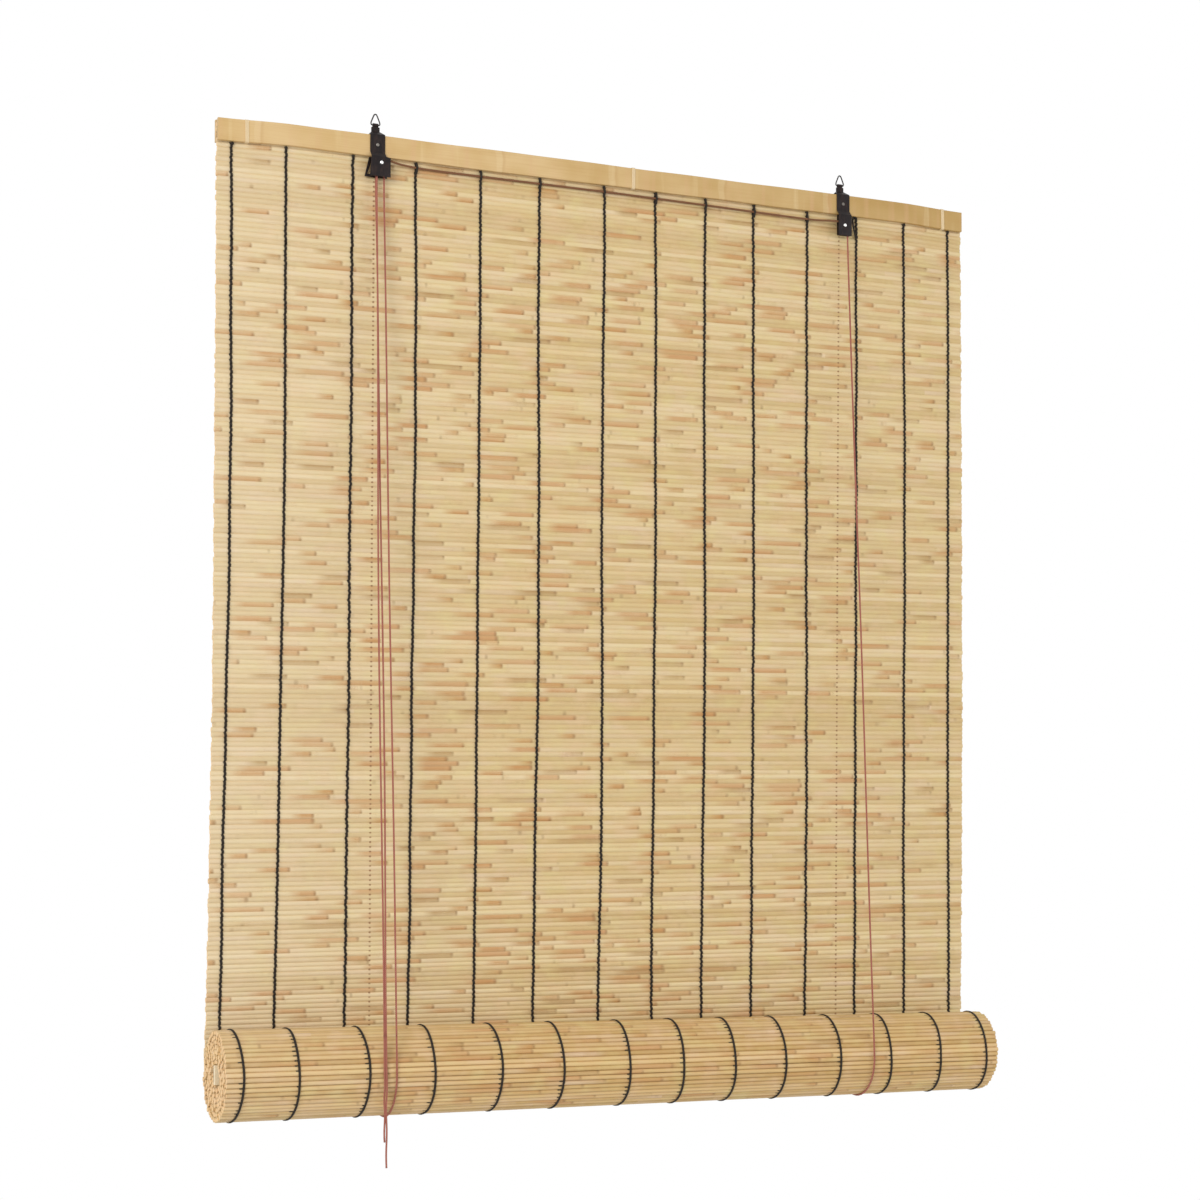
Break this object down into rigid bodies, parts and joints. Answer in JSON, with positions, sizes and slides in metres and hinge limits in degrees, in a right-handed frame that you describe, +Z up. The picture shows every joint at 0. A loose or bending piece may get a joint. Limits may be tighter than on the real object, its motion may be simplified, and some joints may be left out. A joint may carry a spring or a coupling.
{
  "type": "reed roll-up blind",
  "caption": "Reed roll-up blind, partly rolled: reed mat on black warp strings, bamboo head laths, pulley hangers with wire rings, lift cords slung under the roll and a two-strand pull cord.",
  "frame": {"origin": "middle of the blind's width, on the line through the tops of the two rings' openings, in the mat's middle plane", "axes": "+X to the right as seen from the room, -Y to the front where the roll and the cords are, +Z up"},
  "size_m": [0.909, 0.1073, 1.1104],
  "materials": {
    "reed": "natural split and whole reed, dry and matt",
    "bamboo_lath": "planed bamboo with a slight sheen",
    "black_string": "twisted thread",
    "pale_tie": "flat pale binding",
    "black_metal": "black paint with a brown cast",
    "dark_wire": "dark coated wire",
    "bright_rivet": "bright rivet head",
    "red_cord": "braided red-brown cord",
    "sheave_plastic": "dark moulded plastic"
  },
  "bodies": {
    "headrail": {"head_lath_front": "bamboo_lath", "head_lath_back": "bamboo_lath", "reed_mat": "reed", "head_tie_01": "pale_tie", "head_tie_02": "pale_tie", "head_tie_03": "pale_tie", "warp_string_01": "black_string", "warp_string_02": "black_string", "warp_string_03": "black_string", "warp_string_04": "black_string", "warp_string_05": "black_string", "warp_string_06": "black_string", "warp_string_07": "black_string", "warp_string_08": "black_string", "warp_string_09": "black_string", "warp_string_10": "black_string", "warp_string_11": "black_string", "warp_string_12": "black_string", "warp_string_13": "black_string", "warp_string_14": "black_string", "hanger_strap_left": "black_metal", "hanger_strap_right": "black_metal", "lath_rivet_left": "bright_rivet", "lath_rivet_right": "bright_rivet", "pulley_cheek_left": "black_metal", "pulley_cheek_right": "black_metal", "axle_pin_left": "bright_rivet", "axle_pin_right": "bright_rivet", "cord_knot_left": "red_cord", "cord_knot_right": "red_cord", "lift_cord_back_left": "red_cord", "lift_cord_back_right": "red_cord", "lift_cord_front_left": "red_cord", "lift_cord_front_right": "red_cord", "pull_cord_upper_left": "red_cord", "pull_cord_upper_right": "red_cord", "lift_cord_left_turn": "red_cord", "cross_cord": "red_cord"},
    "ring_left": {"hanging_ring_left": "dark_wire"},
    "ring_right": {"hanging_ring_right": "dark_wire"},
    "sheave_left_front": {"sheave_left_front": "sheave_plastic"},
    "sheave_left_back": {"sheave_left_back": "sheave_plastic"},
    "sheave_right": {"sheave_right": "sheave_plastic"},
    "slings": {"lift_cord_loop_left": "red_cord", "lift_cord_loop_right": "red_cord"},
    "roll": {"reed_roll": "reed", "bottom_lath": "bamboo_lath", "roll_strings": "black_string"},
    "pull_ends": {"pull_cord_lower_left": "red_cord", "pull_cord_lower_right": "red_cord"}
  },
  "joints": [
    {"name": "ring_left_swing", "type": "hinge", "parent": "headrail", "child": "ring_left", "pos_m": [-0.277, 0, -0.011], "axis": [1, 0, 0], "range_deg": [-80, 80]},
    {"name": "ring_right_swing", "type": "hinge", "parent": "headrail", "child": "ring_right", "pos_m": [0.289, 0, -0.011], "axis": [1, 0, 0], "range_deg": [-80, 80]},
    {"name": "roll_lift", "type": "slide", "parent": "headrail", "child": "slings", "axis": [0, 0, 1], "range_m": [0, 0.867], "deforming": ["reed_mat", "warp_string_01", "warp_string_02", "warp_string_03", "warp_string_04", "warp_string_05", "warp_string_06", "warp_string_07", "warp_string_08", "warp_string_09", "warp_string_10", "warp_string_11", "warp_string_12", "warp_string_13", "warp_string_14", "lift_cord_back_left", "lift_cord_back_right", "lift_cord_front_left", "lift_cord_front_right", "pull_cord_upper_left", "pull_cord_upper_right", "lift_cord_loop_left", "lift_cord_loop_right"]},
    {"name": "roll_turn", "type": "hinge", "parent": "slings", "child": "roll", "pos_m": [0, -0.046, -1.01279], "axis": [1, 0, 0], "range_deg": [-1080, 0]},
    {"name": "pull_travel", "type": "slide", "parent": "slings", "child": "pull_ends", "axis": [0, 0, -1], "range_m": [0, 2.601], "deforming": ["pull_cord_lower_left", "pull_cord_lower_right"]},
    {"name": "sheave_left_front_spin", "type": "hinge", "parent": "headrail", "child": "sheave_left_front", "pos_m": [-0.274, -0.01015, -0.054], "axis": [0, 1, 0], "continuous": true},
    {"name": "sheave_left_back_spin", "type": "hinge", "parent": "headrail", "child": "sheave_left_back", "pos_m": [-0.274, -0.00685, -0.054], "axis": [0, 1, 0], "continuous": true},
    {"name": "sheave_right_spin", "type": "hinge", "parent": "headrail", "child": "sheave_right", "pos_m": [0.289, -0.01015, -0.06], "axis": [0, 1, 0], "continuous": true}
  ],
  "couplings": [
    {"joint": "roll_turn", "follows": "roll_lift", "rad_per_m": -21.739},
    {"joint": "pull_travel", "follows": "roll_lift", "ratio": 3}
  ]
}
